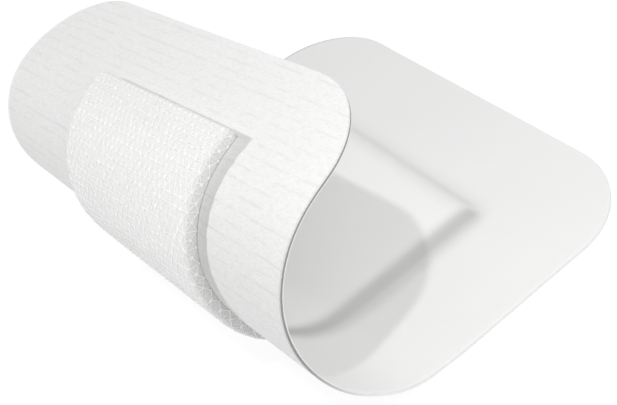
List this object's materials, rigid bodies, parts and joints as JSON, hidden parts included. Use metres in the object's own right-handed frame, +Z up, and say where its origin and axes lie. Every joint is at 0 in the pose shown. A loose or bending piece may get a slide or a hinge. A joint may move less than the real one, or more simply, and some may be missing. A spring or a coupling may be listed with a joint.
{
  "type": "island dressing",
  "caption": "Adhesive island dressing, film-backed nonwoven sheet with a netted absorbent pad, lying with one end curled back over itself.",
  "frame": {"origin": "under the middle of the dressing's bounding box, on the surface that it lies on", "axes": "+X across the sheet, from one long edge to the other; +Y towards the end that lies flat; the curled end is at -Y; +Z up"},
  "size_m": [0.0636, 0.0488, 0.0284],
  "materials": {
    "backing_film": "thin smooth white film with a soft satin sheen, the bare face of the dressing",
    "adhesive_nonwoven": "matt white nonwoven with fine fibres and faint dashed lines across its width, adhesive on the skin side",
    "absorbent_pad": "soft matt white absorbent wadding",
    "wound_net": "fine white net of small diamond cells with brighter joints, low sheen"
  },
  "bodies": {
    "root": {"backing_film": "backing_film", "adhesive_nonwoven": "adhesive_nonwoven", "absorbent_pad": "absorbent_pad", "wound_net": "wound_net"}
  },
  "joints": []
}
